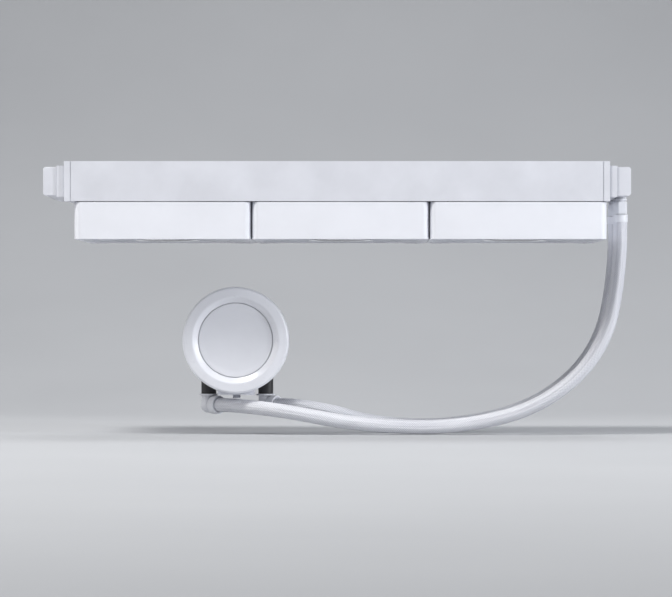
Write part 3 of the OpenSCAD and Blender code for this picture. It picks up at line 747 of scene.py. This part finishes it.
# The lowest point, where the run is level, and the point where it climbs steeply
LOW_X, LOW_PINCH = 56 * MM, 3 * MM
CLIMB_X, CLIMB_Z, CLIMB = 160 * MM, -147 * MM, math.radians(43)
# The straight end below the port, and how far it stands in its ferrule
LAST_STRAIGHT, FERRULE_REACH = 11 * MM, 2.2 * MM


def hose_waypoints(side):
    """The same run the CAD hose takes, from its elbow to its port."""
    elbow = Vector(JOINTS[f"elbow_{side}_swivel"]["pos_m"])
    port = centre(f"port_ferrule_{side}")
    low = box(f"sleeve_{side}")[0].z + SLEEVE_R
    out = Vector((math.cos(YAW[side]), math.sin(YAW[side]), 0))
    low_y = port.y - math.copysign(LOW_PINCH, port.y)
    return [
        (elbow + out * FIRST_BEND, out),
        (Vector((LOW_X, low_y, low)), Vector((1, 0, 0))),
        (Vector((CLIMB_X, port.y, CLIMB_Z)), Vector((math.cos(CLIMB), 0, math.sin(CLIMB)))),
        (Vector((port.x, port.y, port.z + FERRULE_REACH - LAST_STRAIGHT)), Vector((0, 0, 1))),
    ]


def hose_path(side):
    """Points and directions from the elbow to the port, and how many belong to the pump-side half."""
    way = hose_waypoints(side)
    first = way[0]
    lead = FIRST_BEND - HOSE_START
    path = straight_points(first[0] - first[1] * lead, first[1], lead, PATH_STEP)
    cut = 0
    for i in range(len(way) - 1):
        (p0, t0), (p1, t1) = way[i], way[i + 1]
        knee, knee_dir = biarc(p0, t0, p1, t1)
        path += arc_points(p0, t0, knee, PATH_STEP) + arc_points(knee, knee_dir, p1, PATH_STEP)
        if i == 0:
            cut = len(path)
    last = way[-1]
    path += straight_points(last[0], last[1], LAST_STRAIGHT, PATH_STEP)
    path.append((last[0] + last[1] * LAST_STRAIGHT, last[1]))
    return path, cut


def untwisted(path):
    """For each point of a path: its place, two directions across that never twist, metres along."""
    frames, length = [], 0.0
    side = Vector((0, 0, 1)).cross(path[0][1])
    for i, (p, t) in enumerate(path):
        if i:
            length += (p - path[i - 1][0]).length
        side = unit(side - t * side.dot(t))
        frames.append((p, side, t.cross(side), length))
    return frames


def sweep(name, frames, outer, inner, around, material):
    """A hollow tube along a run. UV X goes once round and UV Y is metres along the run."""
    bm = bmesh.new()
    uv = bm.loops.layers.uv.new("run")
    rings = []
    for p, x, y, s in frames:
        ring = []
        for k in range(around):
            a = 2 * math.pi * k / around
            ring.append(bm.verts.new(p + (x * math.cos(a) + y * math.sin(a)) * outer))
        rings.append((ring, s))
    for (a, sa), (b, sb) in zip(rings, rings[1:]):
        for k in range(around):
            j = (k + 1) % around
            face = bm.faces.new((a[k], a[j], b[j], b[k]))
            values = ((k, sa), (k + 1, sa), (k + 1, sb), (k, sb))
            for loop, (u, v) in zip(face.loops, values):
                loop[uv].uv = (u / around, v)
    mesh = bpy.data.meshes.new(name)
    bm.normal_update()
    bm.to_mesh(mesh)
    bm.free()
    piece = object_from(name, mesh, material, sharp=60)
    wall = piece.modifiers.new("wall", "SOLIDIFY")
    wall.thickness = outer - inner
    wall.offset = -1
    return piece


def build_hose(side):
    """The hose and its sleeve, each cut in two because a piece can bend across one joint only."""
    path, cut = hose_path(side)
    frames = untwisted(path)
    halves = {"lower": frames[:cut + 1], "upper": frames[cut:]}
    layers = {
        "sleeve": (SLEEVE_R, SLEEVE_R - SLEEVE_WALL, 96, "sleeve_braid"),
        "hose": (HOSE_R, HOSE_BORE, 48, "hose_rubber"),
    }
    for layer, (outer, inner, around, material) in layers.items():
        for part, points in halves.items():
            piece = sweep(f"{layer}_{side}_{part}", points, outer, inner, around, material)
            apply_modifiers(piece)
            if part == "lower":
                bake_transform(piece)
            else:
                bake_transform(piece)
            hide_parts(f"{layer}_{side}")


def apply_modifiers(piece):
    """Makes a piece's modifiers part of its mesh."""
    graph = bpy.context.evaluated_depsgraph_get()
    mesh = bpy.data.meshes.new_from_object(piece.evaluated_get(graph))
    mesh.set_sharp_from_angle(angle=math.radians(60))
    piece.modifiers.clear()
    piece.data = mesh


# ---------------------------------------------------------------- the CAD nodes


def finish_cad():
    """Gives every CAD node its slot's material, which shows on those that no piece replaces."""
    for name, node in frame["nodes"].items():
        slot = SLOT_OF[name]
        node.data.materials.clear()
        node.data.materials.append(MATERIALS[slot])


# ---------------------------------------------------------------- stage


def build_stage():
    """A paper backdrop: a flat floor that curves up into a wall behind the object."""
    lo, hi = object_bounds()
    floor_z = lo.z - 0.5 * MM
    verts, faces = [], []
    near, flat_end, curve, steps = -3.2, 0.5, 1.6, 32
    half_width, wall_top = 4, 3.4
    depth = [(near, 0), (flat_end, 0)]
    for k in range(1, steps + 1):
        a = math.pi / 2 * k / steps
        depth.append((flat_end + curve * math.sin(a), curve * (1 - math.cos(a))))
    depth.append((flat_end + curve, wall_top))
    for y, z in depth:
        verts += [(-half_width, y, floor_z + z), (half_width, y, floor_z + z)]
    for i in range(len(depth) - 1):
        faces.append((2 * i, 2 * i + 1, 2 * i + 3, 2 * i + 2))
    mesh = mesh_from("backdrop", verts, faces)
    material = bpy.data.materials.new("backdrop_paper")
    material.use_nodes = True
    n = Nodes(material)
    broad = n.noise(3, 3, 0.5)
    tint = n.ramp(broad, "Fac", [(0.3, (0.45, 0.46, 0.48)), (0.7, (0.48, 0.49, 0.51))])
    n.link(tint, "Color", n.bsdf, "Base Color")
    n.bsdf.inputs["Roughness"].default_value = 0.8
    fibre = n.noise(900, 3, 0.6)
    n.link(n.bump(fibre, "Fac", 0.15, 0.0002), "Normal", n.bsdf, "Normal")
    # Seen from beneath the floor is clear, so that it never hides the object
    side = n.add("ShaderNodeNewGeometry")
    clear = n.add("ShaderNodeBsdfTransparent")
    either = n.add("ShaderNodeMixShader")
    n.link(side, "Backfacing", either, "Fac")
    n.link(n.bsdf, "BSDF", either, 1)
    n.link(clear, "BSDF", either, 2)
    n.link(either, "Shader", n.out, "Surface")
    for polygon in mesh.polygons:
        polygon.use_smooth = True
    mesh.materials.append(material)
    backdrop = bpy.data.objects.new("backdrop", mesh)
    bpy.context.scene.collection.objects.link(backdrop)
    backdrop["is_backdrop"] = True


def add_area(name, location, target, size, power, colour):
    light = bpy.data.lights.new(name, "AREA")
    light.shape = "RECTANGLE"
    light.size, light.size_y = size
    light.energy = power
    light.color = colour
    holder = bpy.data.objects.new(name, light)
    holder.location = location
    holder.rotation_euler = (Vector(target) - Vector(location)).to_track_quat("-Z", "Y").to_euler()
    bpy.context.scene.collection.objects.link(holder)


def build_lights():
    target = (0, 0, -0.09)
    add_area("key", (-0.7, -0.8, 1.5), target, (0.6, 0.5), 31, (1.0, 0.99, 0.97))
    add_area("front", (0.6, -2.6, 0.7), target, (1.6, 1.0), 8, (0.96, 0.975, 1.0))
    add_area("right", (1.5, -0.6, 0.4), target, (0.3, 0.9), 20, (0.95, 0.97, 1.0))
    add_area("left", (-1.5, -0.4, 0.4), target, (0.3, 0.9), 6, (1.0, 0.99, 0.97))
    add_area("top", (0.1, 0.7, 1.4), target, (1.2, 0.6), 10, (0.97, 0.98, 1.0))
    build_world()
    bpy.context.scene.view_settings.view_transform = "Standard"
    bpy.context.scene.view_settings.look = "None"
    bpy.context.scene.view_settings.exposure = 0.0


def build_world():
    """A weak cool sky for the light, and a pale grey where the camera looks past the backdrop."""
    world = bpy.data.worlds.new("studio")
    world.use_nodes = True
    tree = world.node_tree
    sky = tree.nodes["Background"]
    sky.inputs["Color"].default_value = (0.80, 0.83, 0.90, 1)
    sky.inputs["Strength"].default_value = 0.10
    seen = tree.nodes.new("ShaderNodeBackground")
    seen.inputs["Color"].default_value = (0.43, 0.44, 0.46, 1)
    path = tree.nodes.new("ShaderNodeLightPath")
    either = tree.nodes.new("ShaderNodeMixShader")
    tree.links.new(path.outputs["Is Camera Ray"], either.inputs["Fac"])
    tree.links.new(sky.outputs["Background"], either.inputs[1])
    tree.links.new(seen.outputs["Background"], either.inputs[2])
    tree.links.new(either.outputs["Shader"], tree.nodes["World Output"].inputs["Surface"])
    bpy.context.scene.world = world


def build_camera():
    """The photo's viewing point: level, about 2.3 m away and at the pump head's height."""
    lo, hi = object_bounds()
    distance, eye_x, eye_z = 2300 * MM, 17.5 * MM, -108 * MM
    filled, sensor = 0.88, 36
    eye = Vector((eye_x, lo.y - distance, eye_z))
    mid = (lo + hi) / 2
    frame_width = (hi.x - lo.x) / filled
    camera = bpy.data.cameras.new("camera")
    camera.sensor_width = sensor
    camera.lens = sensor * (lo.y - eye.y) / frame_width
    camera.shift_x = (mid.x - eye.x) / frame_width
    camera.shift_y = (mid.z - eye.z) / frame_width
    camera.clip_start, camera.clip_end = 0.05, 50
    holder = bpy.data.objects.new("camera", camera)
    holder.location = eye
    holder.rotation_euler = (math.radians(90), 0, 0)
    bpy.context.scene.collection.objects.link(holder)
    bpy.context.scene.camera = holder


# ---------------------------------------------------------------- build


build_radiator()
for fan_number in (1, 2, 3):
    build_fan(fan_number)
build_fan_fasteners()
build_pump()
for hose_side in ("front", "rear"):
    build_elbow(hose_side)
    build_hose(hose_side)
finish_cad()
build_stage()
build_lights()
build_camera()
